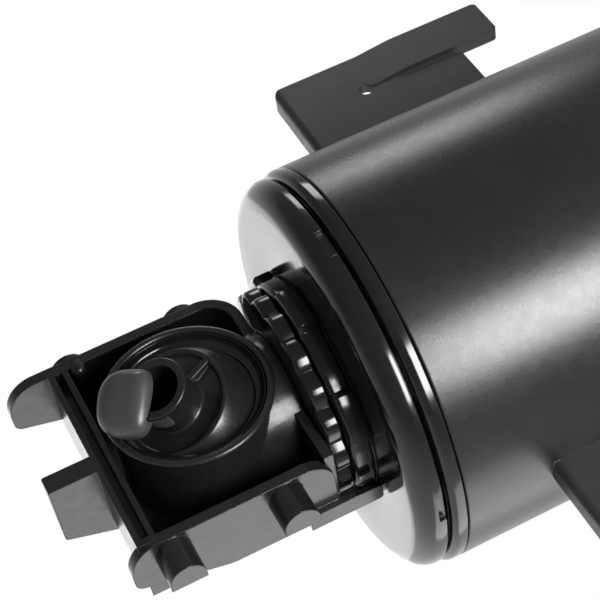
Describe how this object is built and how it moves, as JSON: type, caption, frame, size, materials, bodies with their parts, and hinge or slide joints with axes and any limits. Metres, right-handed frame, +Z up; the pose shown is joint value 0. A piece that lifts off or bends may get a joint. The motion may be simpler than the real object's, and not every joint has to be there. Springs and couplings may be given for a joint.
{
  "type": "internal power filter",
  "caption": "Submersible aquarium filter: upright round canister with clip-on side wings, top pump head, swivel outlet, swivelling ball nozzle and clip-on deflector hood.",
  "frame": {"origin": "centre of the bounding box at the underside of the four rubber feet", "axes": "+Z up the canister's axis towards the outlet head, +X towards the wing beside the long outlet rail, -Y towards the nozzle"},
  "size_m": [0.207, 0.11, 0.3215],
  "materials": {
    "black_abs": "satin",
    "grey_abs": "satin",
    "inner_plastic": "satin",
    "rubber": "matte",
    "foam": "matte",
    "stator_steel": "satin",
    "magnet": "satin",
    "copper": "satin",
    "ceramic": "gloss"
  },
  "bodies": {
    "canister": {"base_strainer": "black_abs", "canister_body": "black_abs", "canister_collar": "black_abs", "foam_cartridge": "foam", "core_tube": "inner_plastic", "rubber_foot_1": "rubber", "rubber_foot_2": "rubber", "rubber_foot_3": "rubber", "rubber_foot_4": "rubber"},
    "pump_head": {"end_cap": "black_abs", "cap_seal": "rubber", "cable_gland": "rubber", "pump_casing": "black_abs", "motor_housing": "black_abs", "rotor_can": "inner_plastic", "stator_core": "stator_steel", "coil_right": "copper", "coil_left": "copper", "impeller_shaft": "ceramic", "shaft_bush_top": "rubber", "shaft_bush_bottom": "rubber"},
    "rotor": {"impeller": "inner_plastic", "rotor_magnet": "magnet"},
    "nut": {"union_nut": "black_abs"},
    "outlet": {"neck_pipe": "black_abs", "neck_seal": "rubber", "grip_ring": "black_abs", "outlet_head": "black_abs", "ball_seat": "rubber"},
    "ring": {"ball_ring": "black_abs"},
    "nozzle": {"nozzle_ball": "black_abs"},
    "hood": {"nozzle_hood": "grey_abs"}
  },
  "joints": [
    {"name": "pump_head_lift", "type": "slide", "parent": "canister", "child": "pump_head", "axis": [0, 0, 1], "range_m": [0, 0.085]},
    {"name": "impeller_spin", "type": "hinge", "parent": "pump_head", "child": "rotor", "pos_m": [0, 0, 0.19], "axis": [0, 0, 1], "continuous": true},
    {"name": "union_nut_turn", "type": "hinge", "parent": "pump_head", "child": "nut", "pos_m": [0, 0, 0.2465], "axis": [0, 0, 1], "range_deg": [0, 90]},
    {"name": "outlet_swivel", "type": "hinge", "parent": "pump_head", "child": "outlet", "pos_m": [0, 0, 0.2465], "axis": [0, 0, 1], "range_deg": [-180, 180]},
    {"name": "ball_ring_turn", "type": "hinge", "parent": "outlet", "child": "ring", "pos_m": [0, -0.0088, 0.28075], "axis": [0, -1, 0], "range_deg": [-180, 180]},
    {"name": "nozzle_tilt", "type": "hinge", "parent": "ring", "child": "nozzle", "pos_m": [0, -0.0088, 0.28075], "axis": [0.9759, 0, 0.2181], "range_deg": [0, 44]},
    {"name": "hood_turn", "type": "hinge", "parent": "nozzle", "child": "hood", "pos_m": [0, -0.0088, 0.28075], "axis": [-0.0817, -0.9272, 0.3656], "range_deg": [-180, 180]}
  ]
}
